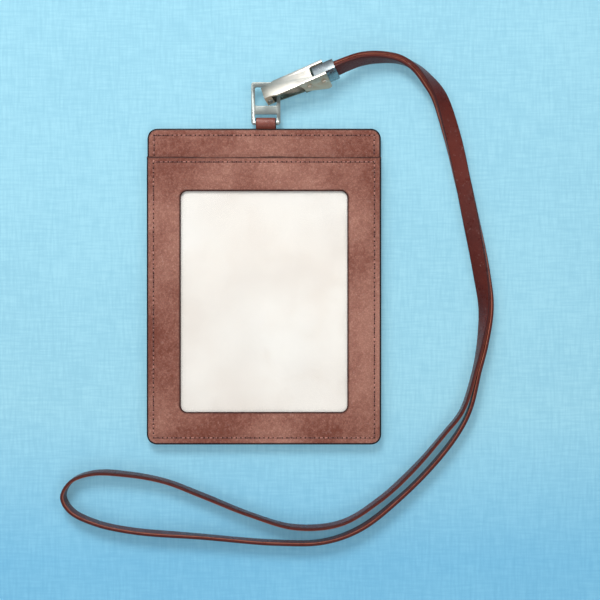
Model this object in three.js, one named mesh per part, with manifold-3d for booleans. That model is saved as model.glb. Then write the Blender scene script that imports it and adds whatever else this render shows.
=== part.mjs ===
// Leather badge holder on a flat neck strap: a stitched pocket with a window, a metal double
// loop in a leather tab, and a sprung clip whose crimp holds both ends of the strap.
// Millimetres, +Z up. The holder lies on its back: its back face is z = 0, with the origin at
// the face's centre, +X across the holder and +Y towards the clip.

import * as THREE from "three";
import { mergeVertices } from "three/addons/utils/BufferGeometryUtils.js";
import Module from "manifold-3d";

const wasm = await Module();
wasm.setup();

// ---- Driving dimensions -------------------------------------------------------------------

const GAP = 0.3; // clearance between pieces that are cut by, or turn in, each other
const OVERLAP = 1; // how far a cutting tool reaches past what it cuts
const CURVE_STEPS = 6; // straight facets in a rounded corner
const BAR_SIDES = 20;
const WRAP_STEPS = 24;

// Holder
const HOLDER_W = 105;
const HOLDER_H = 142;
const HOLDER_CORNER_R = 4.3;
const LEATHER_T = 1.1;
const BOARD_T = 1.2;
const BOARD_INSET = 0.6;
const CARD_SPACE = 0.7; // height of the pocket, from its floor to the film
const CARD_T = 0.4;
const CARD_W = 94;
const CARD_H = 121;
const FILM_T = 0.3;
const FILM_TOP_INSET = 0.8; // below the window frame's top edge
const CARD_CORNER_R = 2;
const FRAME_RIM = 5; // width of the window frame's seam allowance, pressed down to the pocket
const SLOT_DEPTH = 12.8; // band left uncovered above the window frame
const WINDOW_W = 75;
const WINDOW_H = 99.4;
const WINDOW_BOTTOM = 14.4; // margin of leather under the window
const WINDOW_CORNER_R = 3;

// Tab and double loop
const HANG_X = 0.8; // the tab and the loop sit slightly right of centre
const TAB_W = 9.1;
const TAB_T = 1.2;
const TAB_TAIL = 14; // length of the tab between the leather panels
const TAB_BORE_GAP = 0.2; // between the tab's wrap and the bar in it
const LOOP_BAR_D = 1.9;
const LOOP_T = 1.6;
const LOOP_W = 13.1;
const LOOP_ARM_W = 1.65;
const LOOP_TOP_BAR_W = 2.2;
const LOOP_MIDDLE_BAR_W = 3.8;
const LOOP_LOWER_SLOT = 3.8; // from the bottom bar's centre up to the middle bar
const LOOP_UPPER_SLOT = 8.3;
const LOOP_CORNER_R = 1.2;
const LOOP_SLOT_CORNER_R = 0.8;
const LOOP_TILT = 3; // degrees, the loop rises towards the clip
const BAR_Y = HOLDER_H / 2 + 2.7;
const BAR_Z = 3.7;

// Clip, in its own frame: x from the nose to the rear, z out of the plate, y across it
const CLIP_NOSE = [-0.6, 86.3, 7.7];
const CLIP_YAW = 22;
const CLIP_PITCH = 9.2;
const CLIP_ROLL = 27;
const CLIP_L = 29.8;
const CLIP_W = 8.1;
const SHEET_T = 0.8;
const NOSE_L = 3.2;
const NOSE_W = 6.2;
const NOSE_DEPTH = 5.8;
const NOTCH_X = 23.4;
const NOTCH_W = 5.7;
const NOTCH_CORNER_R = 1;
const NOSE_TAPER_L = 3; // from the nose's width to the plate's
const EAR_FRONT_X = 16.5;
const EAR_NECK = [18.3, -6.2]; // where the ear's curved front edge turns straight
const EAR_TOE = [27.6, -10.9];
const EAR_HEEL = [29.7, -9.6];
const LEVER_W = 3.8;
const LEVER_T = 0.7;
const LEVER_TIP = [1.0, -6.5];
const LEVER_TAIL = [22.4, -8.9];
const LEVER_PIN = [20.7, -4.2];
const LEVER_CHEEK_T = 0.6;
const LEVER_CHEEK_R = 1.7; // round the pin
const LEVER_CHEEK_L = 3.2; // ahead of the pin, along the strip
const PIN_D = 1.5;
const PIN_HEAD_D = 2.5;
const PIN_HEAD_T = 0.5;
const PIN_HEAD_GAP = 0.15; // between a head and its ear
const CRIMP_PIN = [27.5, -5.0];
const RIVET_AT = [1.7, -3.6];
const SPRING_WIRE_D = 0.5;
const SPRING_COIL_R = 1.45;
const SPRING_TURNS = 3;
const SPRING_PITCH = 0.75;

// Crimp and strap
const STRAP_W = 7.2;
const STRAP_T = 1.5;
const STRAP_EDGE = 0.35; // chamfer along the strap's edges
const STRAND_SPACING = 1.76; // between the middles of the two strands where they lie together
const CRIMP_X = [24.3, 34.3];
const CRIMP_WALL = 0.6;
const CRIMP_FRONT_WALL = 1.2;
const STRAP_IN_CRIMP_X = [30.4, 32.8, 35.1]; // from the strap's ends out of the crimp's mouth
const STRAP_SECTIONS = 80;
const SECTION_BUNCHING = 0.5; // 0 spaces the sections evenly

// ---- Materials ----------------------------------------------------------------------------

function material(color, roughness, metalness, opacity = 1) {
  return new THREE.MeshStandardMaterial({
    color, roughness, metalness, opacity, transparent: opacity < 1,
  });
}

const LEATHER = material(0x8f5f4c, 0.6, 0);
const LEATHER_DARK = material(0x6d3a2c, 0.55, 0);
const STRAP_LEATHER = material(0x5a2620, 0.45, 0);
const BOARD = material(0x8b7b66, 0.9, 0);
const CARD = material(0xf3f0ea, 0.7, 0);
const FILM = material(0xffffff, 0.1, 0, 0.3);
const NICKEL = material(0xd8d8d2, 0.25, 1);
const GUNMETAL = material(0x7c8888, 0.35, 1);
const SPRING_STEEL = material(0xa0a4a8, 0.3, 1);

// ---- Geometry helpers ---------------------------------------------------------------------

function rad(degrees) {
  return degrees * Math.PI / 180;
}

function roundedRect(width, height, radius, cx = 0, cy = 0) {
  const shape = new THREE.Shape();
  const x = cx - width / 2;
  const y = cy - height / 2;
  shape.moveTo(x + radius, y);
  shape.lineTo(x + width - radius, y);
  shape.absarc(x + width - radius, y + radius, radius, -Math.PI / 2, 0);
  shape.lineTo(x + width, y + height - radius);
  shape.absarc(x + width - radius, y + height - radius, radius, 0, Math.PI / 2);
  shape.lineTo(x + radius, y + height);
  shape.absarc(x + radius, y + height - radius, radius, Math.PI / 2, Math.PI);
  shape.lineTo(x, y + radius);
  shape.absarc(x + radius, y + radius, radius, Math.PI, Math.PI * 1.5);
  return shape;
}

function polygon(points) {
  return new THREE.Shape(points.map(([x, y]) => new THREE.Vector2(x, y)));
}

// Extrudes a shape drawn in XY upwards from z = base.
function slab(shape, base, thickness) {
  const geometry = new THREE.ExtrudeGeometry(shape, {
    depth: thickness, bevelEnabled: false, curveSegments: CURVE_STEPS,
  });
  geometry.translate(0, 0, base);
  return geometry;
}

// Extrudes a profile drawn in the XZ plane along Y, centred on y = 0.
function sideProfile(shape, width, y = 0) {
  const geometry = slab(shape, -width / 2, width);
  geometry.rotateX(Math.PI / 2);
  geometry.translate(0, y, 0);
  return geometry;
}

function box(x0, x1, y0, y1, z0, z1) {
  const geometry = new THREE.BoxGeometry(x1 - x0, y1 - y0, z1 - z0);
  geometry.translate((x0 + x1) / 2, (y0 + y1) / 2, (z0 + z1) / 2);
  return geometry;
}

// A round bar across the clip, along Y.
function crossBar(diameter, length, [x, z], y = 0) {
  const geometry = new THREE.CylinderGeometry(diameter / 2, diameter / 2, length, BAR_SIDES);
  geometry.translate(x, y, z);
  return geometry;
}

// The tool for a pin's hole through the clip and what it carries.
function bore(at) {
  return crossBar(PIN_D + 2 * GAP, CLIP_W + 2 * OVERLAP, at);
}

function solid(geometry) {
  const bare = geometry.clone();
  bare.deleteAttribute("normal");
  bare.deleteAttribute("uv");
  const merged = mergeVertices(bare, 1e-4);
  return new wasm.Manifold(new wasm.Mesh({
    numProp: 3,
    vertProperties: new Float32Array(merged.attributes.position.array),
    triVerts: new Uint32Array(merged.index.array),
  }));
}

function geometryOf(manifold) {
  const mesh = manifold.getMesh();
  const geometry = new THREE.BufferGeometry();
  geometry.setAttribute("position", new THREE.BufferAttribute(mesh.vertProperties, 3));
  geometry.setIndex(new THREE.BufferAttribute(mesh.triVerts, 1));
  geometry.computeVertexNormals();
  return geometry;
}

function join(base, ...others) {
  return geometryOf(others.reduce((sum, one) => sum.add(solid(one)), solid(base)));
}

function cut(base, ...tools) {
  return geometryOf(tools.reduce((sum, one) => sum.subtract(solid(one)), solid(base)));
}

function piece(name, geometry, surface, parent) {
  const mesh = new THREE.Mesh(geometry, surface);
  mesh.name = name;
  parent.add(mesh);
  return mesh;
}

// ---- Holder: leather, board, card and film --------------------------------------------------

const BOARD_Z = LEATHER_T;
const POCKET_Z = BOARD_Z + BOARD_T;
const POCKET_TOP = POCKET_Z + LEATHER_T;
const FILM_Z = POCKET_TOP + CARD_SPACE;
const FRAME_Z = FILM_Z + FILM_T;
const FRAME_TOP_Y = HOLDER_H / 2 - SLOT_DEPTH;
const WINDOW_Y = -HOLDER_H / 2 + WINDOW_BOTTOM + WINDOW_H / 2;

function backPanel() {
  return slab(roundedRect(HOLDER_W, HOLDER_H, HOLDER_CORNER_R), 0, LEATHER_T);
}

function stiffenerBoard() {
  const outline = roundedRect(
    HOLDER_W - 2 * BOARD_INSET, HOLDER_H - 2 * BOARD_INSET, HOLDER_CORNER_R - BOARD_INSET,
  );
  const half = TAB_W / 2 + GAP;
  const notch = box(
    HANG_X - half, HANG_X + half, HOLDER_H / 2 - TAB_TAIL - GAP, HOLDER_H / 2 + OVERLAP,
    BOARD_Z - OVERLAP, POCKET_Z + OVERLAP,
  );
  return cut(slab(outline, BOARD_Z, BOARD_T), notch);
}

function pocketPanel() {
  return slab(roundedRect(HOLDER_W, HOLDER_H, HOLDER_CORNER_R), POCKET_Z, LEATHER_T);
}

function insertCard() {
  const bottom = -HOLDER_H / 2 + FRAME_RIM + GAP;
  const shape = roundedRect(CARD_W, CARD_H, CARD_CORNER_R, 0, bottom + CARD_H / 2);
  return slab(shape, POCKET_TOP + (CARD_SPACE - CARD_T) / 2, CARD_T);
}

function windowFilm() {
  const side = HOLDER_W / 2 - FRAME_RIM - GAP;
  const bottom = -HOLDER_H / 2 + FRAME_RIM + GAP;
  return box(-side, side, bottom, FRAME_TOP_Y - FILM_TOP_INSET, FILM_Z, FRAME_Z);
}

// The frame's two top corners are square, because the slot is cut straight across.
function frameOutline() {
  const shape = new THREE.Shape();
  const x = HOLDER_W / 2;
  const y = -HOLDER_H / 2;
  const r = HOLDER_CORNER_R;
  shape.moveTo(-x, FRAME_TOP_Y);
  shape.lineTo(-x, y + r);
  shape.absarc(-x + r, y + r, r, Math.PI, Math.PI * 1.5);
  shape.lineTo(x - r, y);
  shape.absarc(x - r, y + r, r, -Math.PI / 2, 0);
  shape.lineTo(x, FRAME_TOP_Y);
  return shape;
}

function windowPanel() {
  const face = frameOutline();
  face.holes.push(roundedRect(WINDOW_W, WINDOW_H, WINDOW_CORNER_R, 0, WINDOW_Y));
  const seam = slab(frameOutline(), POCKET_TOP, FRAME_Z - POCKET_TOP);
  const inner = HOLDER_W / 2 - FRAME_RIM;
  const pocket = box(
    -inner, inner, -HOLDER_H / 2 + FRAME_RIM, FRAME_TOP_Y + OVERLAP,
    POCKET_TOP - OVERLAP, FRAME_Z + OVERLAP,
  );
  return join(slab(face, FRAME_Z, LEATHER_T), cut(seam, pocket));
}

// Extrudes a profile drawn from the side, with y along the shape's x and z along its y.
function acrossTab(shape, width) {
  const geometry = new THREE.ExtrudeGeometry(shape, {
    depth: width, bevelEnabled: false, curveSegments: WRAP_STEPS,
  });
  geometry.translate(0, 0, -width / 2);
  geometry.rotateZ(Math.PI / 2);
  geometry.rotateY(Math.PI / 2);
  geometry.translate(HANG_X, 0, 0);
  return geometry;
}

// The strip wraps the loop's bottom bar, and its two skived tails lie together in the board's
// notch.
function strapTab() {
  const boreR = LOOP_BAR_D / 2 + TAB_BORE_GAP;
  const wrapR = boreR + TAB_T;
  const edge = HOLDER_H / 2;
  const tails = polygon([
    [edge - TAB_TAIL, BOARD_Z], [edge + 0.5, BOARD_Z], [BAR_Y, BAR_Z - wrapR + 0.05],
    [BAR_Y, BAR_Z], [BAR_Y - wrapR * 0.9, BAR_Z + 0.6], [edge + GAP, POCKET_Z + 1],
    [edge + GAP, POCKET_Z], [edge - TAB_TAIL, POCKET_Z],
  ]);
  const wrap = new THREE.Shape();
  wrap.absarc(BAR_Y, BAR_Z, wrapR, 0, Math.PI * 2);
  const bore = new THREE.Shape();
  bore.absarc(BAR_Y, BAR_Z, boreR, 0, Math.PI * 2);
  const body = join(acrossTab(tails, TAB_W), acrossTab(wrap, TAB_W));
  return cut(body, acrossTab(bore, TAB_W + 2 * OVERLAP));
}

// ---- Double loop ---------------------------------------------------------------------------

// Drawn flat with its bottom bar's centre at the origin, then tilted up about that bar.
function doubleLoop() {
  const arm = LOOP_BAR_D / 2;
  const upperTop = LOOP_LOWER_SLOT + LOOP_MIDDLE_BAR_W + LOOP_UPPER_SLOT;
  const top = upperTop + LOOP_TOP_BAR_W;
  const outline = roundedRect(LOOP_W, top + arm, LOOP_CORNER_R, 0, (top - arm) / 2);
  const inner = LOOP_W - 2 * LOOP_ARM_W;
  const lowerSlot = box(
    -inner / 2, inner / 2, -LOOP_W, LOOP_LOWER_SLOT, -LOOP_T, LOOP_T,
  );
  const upperShape = roundedRect(
    inner, LOOP_UPPER_SLOT, LOOP_SLOT_CORNER_R, 0, upperTop - LOOP_UPPER_SLOT / 2,
  );
  const upperSlot = slab(upperShape, -LOOP_T, 2 * LOOP_T);
  const frame = cut(slab(outline, -LOOP_T / 2, LOOP_T), lowerSlot, upperSlot);
  const barR = arm - 0.05; // just inside the arms' rounded ends
  const bar = new THREE.CylinderGeometry(barR, barR, inner + LOOP_ARM_W, BAR_SIDES);
  bar.rotateZ(Math.PI / 2);
  return join(frame, bar);
}

function addLoop(parent) {
  const mesh = piece("double_loop", doubleLoop(), GUNMETAL, parent);
  mesh.position.set(HANG_X, BAR_Y, BAR_Z);
  mesh.rotation.x = rad(LOOP_TILT);
}

// ---- Clip ----------------------------------------------------------------------------------

function clipFrame() {
  const yaw = new THREE.Group();
  yaw.position.set(...CLIP_NOSE);
  yaw.rotation.z = rad(CLIP_YAW);
  const pitch = new THREE.Group();
  pitch.rotation.y = -rad(CLIP_PITCH);
  const roll = new THREE.Group();
  roll.rotation.x = -rad(CLIP_ROLL);
  yaw.add(pitch);
  pitch.add(roll);
  return [yaw, roll];
}

function clipBody() {
  const nose = NOSE_W / 2;
  const side = CLIP_W / 2;
  const taperEnd = NOSE_L + NOSE_TAPER_L;
  const plate = slab(polygon([
    [0, -nose], [NOSE_L, -nose], [taperEnd, -side], [CLIP_L, -side],
    [CLIP_L, side], [taperEnd, side], [NOSE_L, nose], [0, nose],
  ]), -SHEET_T, SHEET_T);
  const ear = new THREE.Shape();
  ear.moveTo(EAR_FRONT_X, 0);
  ear.lineTo(EAR_FRONT_X, -SHEET_T);
  ear.quadraticCurveTo(EAR_FRONT_X + 1.2, -2.5, ...EAR_NECK);
  ear.lineTo(...EAR_TOE);
  ear.quadraticCurveTo(EAR_HEEL[0] - 0.3, EAR_TOE[1] - 0.4, ...EAR_HEEL);
  ear.lineTo(CLIP_L, 0);
  const earY = side - SHEET_T / 2;
  const nosePlan = box(0, NOSE_L, -nose, nose, -NOSE_DEPTH, 0);
  const noseHollow = box(
    SHEET_T, NOSE_L + OVERLAP, -nose + SHEET_T, nose - SHEET_T, -NOSE_DEPTH - OVERLAP, -SHEET_T,
  );
  const body = join(
    plate, sideProfile(ear, SHEET_T, earY), sideProfile(ear, SHEET_T, -earY),
    cut(nosePlan, noseHollow),
  );
  const notchL = CLIP_L - NOTCH_X + 2 * NOTCH_CORNER_R;
  const notch = slab(
    roundedRect(notchL, NOTCH_W, NOTCH_CORNER_R, NOTCH_X + notchL / 2), -2 * SHEET_T, 3 * SHEET_T,
  );
  return cut(
    body, notch, ...[LEVER_PIN, CRIMP_PIN, RIVET_AT].map((at) => bore(at)),
  );
}

// The lever runs under the jaw from the nose to its tail, and two cheeks carry it on its pin.
function clipLever() {
  const [tipX, tipZ] = LEVER_TIP;
  const [tailX, tailZ] = LEVER_TAIL;
  const strip = polygon([
    [tipX, tipZ], [tipX, tipZ - LEVER_T], [tailX, tailZ - LEVER_T], [tailX, tailZ],
  ]);
  const [pinX, pinZ] = LEVER_PIN;
  const frontX = pinX - LEVER_CHEEK_L;
  const sunk = LEVER_CHEEK_T / 3; // the cheeks' feet go this far into the strip
  const frontZ = tipZ + (tailZ - tipZ) * (frontX - tipX) / (tailX - tipX) - sunk;
  const cheek = new THREE.Shape();
  cheek.moveTo(frontX, frontZ);
  cheek.lineTo(tailX - sunk, tailZ - sunk);
  cheek.lineTo(pinX + LEVER_CHEEK_R, pinZ);
  cheek.absarc(pinX, pinZ, LEVER_CHEEK_R, 0, Math.PI);
  const cheekY = LEVER_W / 2 + sunk;
  const rearHalf = cheekY + LEVER_CHEEK_T / 2;
  const rear = box(frontX + sunk, tailX, -rearHalf, rearHalf, tailZ - LEVER_T, tailZ);
  return cut(
    join(
      sideProfile(strip, LEVER_W), rear,
      sideProfile(cheek, LEVER_CHEEK_T, cheekY), sideProfile(cheek, LEVER_CHEEK_T, -cheekY),
    ),
    bore(LEVER_PIN),
  );
}

// A plain pin with a flat head outside each ear.
function headedPin(at, span) {
  const head = (side) => crossBar(
    PIN_HEAD_D, PIN_HEAD_T, at, side * (span + PIN_HEAD_T + 2 * PIN_HEAD_GAP) / 2,
  );
  return join(crossBar(PIN_D, span + PIN_HEAD_T, at), head(1), head(-1));
}

class Helix extends THREE.Curve {
  getPoint(t, target = new THREE.Vector3()) {
    const angle = t * SPRING_TURNS * Math.PI * 2;
    return target.set(
      LEVER_PIN[0] + SPRING_COIL_R * Math.cos(angle),
      (t - 0.5) * SPRING_TURNS * SPRING_PITCH,
      LEVER_PIN[1] + SPRING_COIL_R * Math.sin(angle),
    );
  }
}

function leverSpring() {
  const section = new THREE.Shape();
  section.absarc(0, 0, SPRING_WIRE_D / 2, 0, Math.PI * 2);
  return new THREE.ExtrudeGeometry(section, {
    extrudePath: new Helix(), steps: SPRING_TURNS * 14, curveSegments: 3, bevelEnabled: false,
  });
}

// A folded sleeve: closed at the front round its pin, open at the rear for the strap ends.
function crimpSleeve() {
  const [x0, x1] = CRIMP_X;
  const inY = (STRAND_SPACING + STRAP_T) / 2 + GAP;
  const inZ = STRAP_W / 2 + GAP;
  const z = CRIMP_PIN[1];
  const outer = box(
    x0, x1, -inY - CRIMP_WALL, inY + CRIMP_WALL, z - inZ - CRIMP_WALL, z + inZ + CRIMP_WALL,
  );
  const hollow = box(x0 + CRIMP_FRONT_WALL, x1 + OVERLAP, -inY, inY, z - inZ, z + inZ);
  return cut(outer, hollow, bore(CRIMP_PIN));
}

function addClip(parent) {
  const [outer, frame] = clipFrame();
  parent.add(outer);
  piece("clip_body", clipBody(), NICKEL, frame);
  piece("clip_lever", clipLever(), NICKEL, frame);
  piece("lever_pin", headedPin(LEVER_PIN, CLIP_W), NICKEL, frame);
  piece("lever_spring", leverSpring(), SPRING_STEEL, frame);
  piece("nose_rivet", headedPin(RIVET_AT, NOSE_W), GUNMETAL, frame);
  piece("crimp_pin", headedPin(CRIMP_PIN, CLIP_W), NICKEL, frame);
  piece("crimp_sleeve", crimpSleeve(), GUNMETAL, frame);
  return frame;
}

// ---- Neck strap ----------------------------------------------------------------------------

// Where the two strands lie together, from the crimp to where they part: the middle of the
// pair, and the lean of the strap from upright, in degrees towards the left of its run.
const PAIR_RUN = [
  [43.3, 101.8, 6.5, 19],
  [52.3, 103.2, 4.6, 8],
  [61.3, 102.3, 3.9, -6],
  [68.4, 98.5, 4.0, -22],
  [74.2, 92.4, 4.1, -40],
  [78.7, 86.0, 3.9, -55],
  [84.6, 69.2, 2.9, -78],
  [89.8, 48.0, 2.3, -97],
  [94.3, 26.3, 3.0, -112],
  [98.4, 4.6, 3.8, -132],
  [100.1, -9.8, 4.0, -150],
  [98.8, -24.3, 3.8, -168],
  [96.0, -38.2, 3.7, -180],
];

// The loop past that point, out along the inner strand and back along the outer one.
const LOOP_RUN = [
  [89.3, -56.2], [81.4, -66.4], [66.9, -82.9], [51.8, -96.6], [34.6, -106.9], [13.9, -108.7],
  [-6.9, -102.8], [-27.6, -94.5], [-44.8, -88.0], [-62.1, -84.8], [-77.2, -84.3],
  [-86.7, -87.8], [-90.6, -94.6], [-87.1, -101.2], [-75.9, -106.8], [-59.9, -110.3],
  [-28.9, -112.9], [6.1, -115.7], [26.8, -115.2], [43.3, -109.3], [61.1, -95.6],
  [76.2, -80.5], [87.6, -65.8], [93.0, -55.0],
];
const LOOP_Z = STRAP_W / 2 + 0.1;
const LOOP_LEAN = -180;

// Across the strap's thickness, for a run heading along tangent and leaning by lean degrees.
function thicknessAxis(tangent, lean) {
  const left = new THREE.Vector3(-tangent.y, tangent.x, 0).normalize();
  const up = new THREE.Vector3().crossVectors(tangent, left);
  return left.multiplyScalar(Math.cos(rad(lean))).addScaledVector(up, -Math.sin(rad(lean)));
}

function pairPoint(run, index, side) {
  const at = (i) => new THREE.Vector3(...run[Math.min(Math.max(i, 0), run.length - 1)]);
  const tangent = at(index + 1).sub(at(index - 1)).normalize();
  const across = thicknessAxis(tangent, run[index][3]);
  return at(index).addScaledVector(across, side * STRAND_SPACING / 2);
}

// The strap's middle line with the lean at each point, from one end in the crimp to the other.
function strapRoute(frame) {
  frame.updateWorldMatrix(true, false);
  const inCrimp = (x) => [
    ...new THREE.Vector3(x, 0, CRIMP_PIN[1]).applyMatrix4(frame.matrixWorld).toArray(),
    CLIP_ROLL,
  ];
  const run = [...STRAP_IN_CRIMP_X.map(inCrimp), ...PAIR_RUN];
  const out = run.map((entry, i) => [pairPoint(run, i, 1), entry[3]]);
  const loop = LOOP_RUN.map(([x, y]) => [new THREE.Vector3(x, y, LOOP_Z), LOOP_LEAN]);
  const back = run.map((entry, i) => [pairPoint(run, i, -1), entry[3]]).reverse();
  return { out, loop, back };
}

// Sections stand closer together at the crimp and round the far turn, which is halfway along.
function station(x) {
  return x - SECTION_BUNCHING * Math.sin(4 * Math.PI * x) / (4 * Math.PI);
}

// A curve whose frames follow the strap's lean, so that a flat section twists as leather does.
class StrapCurve extends THREE.CatmullRomCurve3 {
  constructor(entries, turnIndex) {
    super(entries.map(([point]) => point), false, "centripetal");
    this.entries = entries;
    this.turnIndex = turnIndex;
  }

  // Heading back along the same run, left and right swap, so the lean changes sign.
  leanAt(t) {
    const place = t * (this.entries.length - 1);
    const i = Math.min(Math.floor(place), this.entries.length - 2);
    const f = place - i;
    const signed = (k) => (k > this.turnIndex ? -this.entries[k][1] - 360 : this.entries[k][1]);
    return signed(i) * (1 - f) + signed(i + 1) * f;
  }

  getSpacedPoints(segments) {
    return Array.from({ length: segments + 1 }, (_, i) => this.getPointAt(station(i / segments)));
  }

  computeFrenetFrames(segments) {
    const tangents = [];
    const normals = [];
    const binormals = [];
    for (let i = 0; i <= segments; i++) {
      const u = station(i / segments);
      const tangent = this.getTangentAt(u).normalize();
      const lean = this.leanAt(this.getUtoTmapping(u));
      const across = thicknessAxis(tangent, lean);
      tangents.push(tangent);
      binormals.push(across);
      normals.push(new THREE.Vector3().crossVectors(across, tangent));
    }
    return { tangents, normals, binormals };
  }
}

function neckStrap(frame) {
  const { out, loop, back } = strapRoute(frame);
  const curve = new StrapCurve([...out, ...loop, ...back], out.length + loop.length / 2);
  const w = STRAP_W / 2;
  const t = STRAP_T / 2;
  const wIn = w - STRAP_EDGE;
  const tIn = t - STRAP_EDGE;
  const section = polygon([
    [-w, -tIn], [-wIn, -t], [wIn, -t], [w, -tIn], [w, tIn], [wIn, t], [-wIn, t], [-w, tIn],
  ]);
  return new THREE.ExtrudeGeometry(section, {
    extrudePath: curve, steps: STRAP_SECTIONS, bevelEnabled: false,
  });
}

// ---- Assembly ------------------------------------------------------------------------------

const holder = new THREE.Group();
piece("back_panel", backPanel(), LEATHER, holder);
piece("stiffener_board", stiffenerBoard(), BOARD, holder);
piece("pocket_panel", pocketPanel(), LEATHER, holder);
piece("insert_card", insertCard(), CARD, holder);
piece("window_film", windowFilm(), FILM, holder);
piece("window_panel", windowPanel(), LEATHER, holder);
piece("strap_tab", strapTab(), LEATHER_DARK, holder);

const badgeHolder = new THREE.Group();
badgeHolder.add(holder);
addLoop(badgeHolder);
const clip = addClip(badgeHolder);
piece("neck_strap", neckStrap(clip), STRAP_LEATHER, badgeHolder);

export default badgeHolder;
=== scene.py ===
"""Lanyard badge holder: stitched leather pocket, double loop, sprung clip and flat neck strap."""

import math
import random

import bmesh
import bpy
import numpy as np
from mathutils import Matrix, Vector


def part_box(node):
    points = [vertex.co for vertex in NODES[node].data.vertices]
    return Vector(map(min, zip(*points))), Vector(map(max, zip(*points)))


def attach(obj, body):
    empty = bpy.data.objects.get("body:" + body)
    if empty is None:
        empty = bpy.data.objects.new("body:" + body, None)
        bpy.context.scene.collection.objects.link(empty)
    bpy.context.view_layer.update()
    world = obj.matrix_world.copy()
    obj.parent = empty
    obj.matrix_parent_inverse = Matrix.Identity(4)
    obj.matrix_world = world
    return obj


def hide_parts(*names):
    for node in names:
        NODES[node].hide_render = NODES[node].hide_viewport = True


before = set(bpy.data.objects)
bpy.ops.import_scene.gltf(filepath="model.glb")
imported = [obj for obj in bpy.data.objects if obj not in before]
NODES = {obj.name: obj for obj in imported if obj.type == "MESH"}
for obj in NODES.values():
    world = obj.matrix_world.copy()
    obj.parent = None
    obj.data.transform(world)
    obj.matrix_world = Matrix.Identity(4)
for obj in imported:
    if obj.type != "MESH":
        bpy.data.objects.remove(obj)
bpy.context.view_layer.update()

MM = 0.001
RNG = random.Random(7)

# ---- Camera ---------------------------------------------------------------------------------

CAMERA_AT = (0.0162, -0.0062, 0.4775)
CAMERA_LENS = 63.0


def add_camera():
    data = bpy.data.cameras.new("camera")
    data.sensor_width = 36.0
    data.lens = CAMERA_LENS
    data.clip_start = 0.01
    camera = bpy.data.objects.new("camera", data)
    camera.location = CAMERA_AT
    bpy.context.scene.collection.objects.link(camera)
    bpy.context.scene.camera = camera


add_camera()

# ---- Colour and material helpers --------------------------------------------------------------


def srgb(red, green, blue):
    """A screen colour, 0 to 255, as a linear colour with alpha."""

    def linear(value):
        c = value / 255
        return c / 12.92 if c <= 0.04045 else ((c + 0.055) / 1.055) ** 2.4

    return (linear(red), linear(green), linear(blue), 1.0)


class Look:
    """A material with one Principled shader, built up node by node in object coordinates."""

    def __init__(self, name, rough=0.5, metal=0.0, **sockets):
        self.material = bpy.data.materials.new(name)
        self.material.use_nodes = True
        self.tree = self.material.node_tree
        self.tree.nodes.clear()
        output = self.node("OutputMaterial")
        self.shader = self.node("BsdfPrincipled")
        self.link(self.shader.outputs[0], output.inputs[0])
        self.set("Roughness", rough)
        self.set("Metallic", metal)
        for socket, value in sockets.items():
            self.set(socket.replace("_", " "), value)
        coordinates = self.node("TexCoord")
        self.place = coordinates.outputs["Object"]
        self.facing = coordinates.outputs["Normal"]

    def node(self, kind):
        return self.tree.nodes.new("ShaderNode" + kind)

    def link(self, source, target):
        self.tree.links.new(source, target)

    def feed(self, target, value):
        """Gives a socket a constant, or links it to another node's output."""
        if isinstance(value, bpy.types.NodeSocket):
            self.link(value, target)
        else:
            target.default_value = value

    def set(self, socket, value):
        self.feed(self.shader.inputs[socket], value)

    def mapped(self, scale, rotation=(0, 0, 0)):
        node = self.node("Mapping")
        node.inputs["Scale"].default_value = scale
        node.inputs["Rotation"].default_value = rotation
        self.link(self.place, node.inputs["Vector"])
        return node.outputs[0]

    def axis(self, vector, letter):
        node = self.node("SeparateXYZ")
        self.link(vector, node.inputs[0])
        return node.outputs[letter]

    def noise(self, scale, detail=2.0, rough=0.5, place=None, distortion=0.0):
        node = self.node("TexNoise")
        self.link(place or self.place, node.inputs["Vector"])
        node.inputs["Scale"].default_value = scale
        node.inputs["Detail"].default_value = detail
        node.inputs["Roughness"].default_value = rough
        node.inputs["Distortion"].default_value = distortion
        return node.outputs[0]

    def wandering(self, scale, reach_mm):
        """The place, shifted about by up to the reach, for cells with rounded uneven sides."""
        noise = self.node("TexNoise")
        self.link(self.place, noise.inputs["Vector"])
        noise.inputs["Scale"].default_value = scale
        shift = self.node("VectorMath")
        shift.operation = "MULTIPLY_ADD"
        self.link(noise.outputs["Color"], shift.inputs[0])
        shift.inputs[1].default_value = (reach_mm * MM,) * 3
        self.link(self.place, shift.inputs[2])
        return shift.outputs[0]

    def cells(self, scale, feature, place, output="Distance"):
        node = self.node("TexVoronoi")
        node.feature = feature
        self.link(place, node.inputs["Vector"])
        node.inputs["Scale"].default_value = scale
        return node.outputs[output]

    def attribute(self, name):
        node = self.node("Attribute")
        node.attribute_name = name
        return node.outputs["Fac"]

    def spread(self, value, low, high, to_low=0.0, to_high=1.0):
        node = self.node("MapRange")
        self.link(value, node.inputs["Value"])
        for socket, number in zip(("From Min", "From Max", "To Min", "To Max"),
                                  (low, high, to_low, to_high)):
            node.inputs[socket].default_value = number
        return node.outputs[0]

    def math(self, kind, a, b):
        node = self.node("Math")
        node.operation = kind
        self.feed(node.inputs[0], a)
        self.feed(node.inputs[1], b)
        return node.outputs[0]

    def mix(self, share, a, b, kind="MIX"):
        node = self.node("MixRGB")
        node.blend_type = kind
        for socket, value in zip(node.inputs, (share, a, b)):
            self.feed(socket, value)
        return node.outputs[0]

    def bump(self, height, strength, depth_mm, under=None):
        node = self.node("Bump")
        node.inputs["Strength"].default_value = strength
        node.inputs["Distance"].default_value = depth_mm * MM
        self.link(height, node.inputs["Height"])
        if under is not None:
            self.link(under, node.inputs["Normal"])
        return node.outputs[0]


HOLDER_PEBBLE = 1150  # grain cells per metre on the holder's leather


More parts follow.
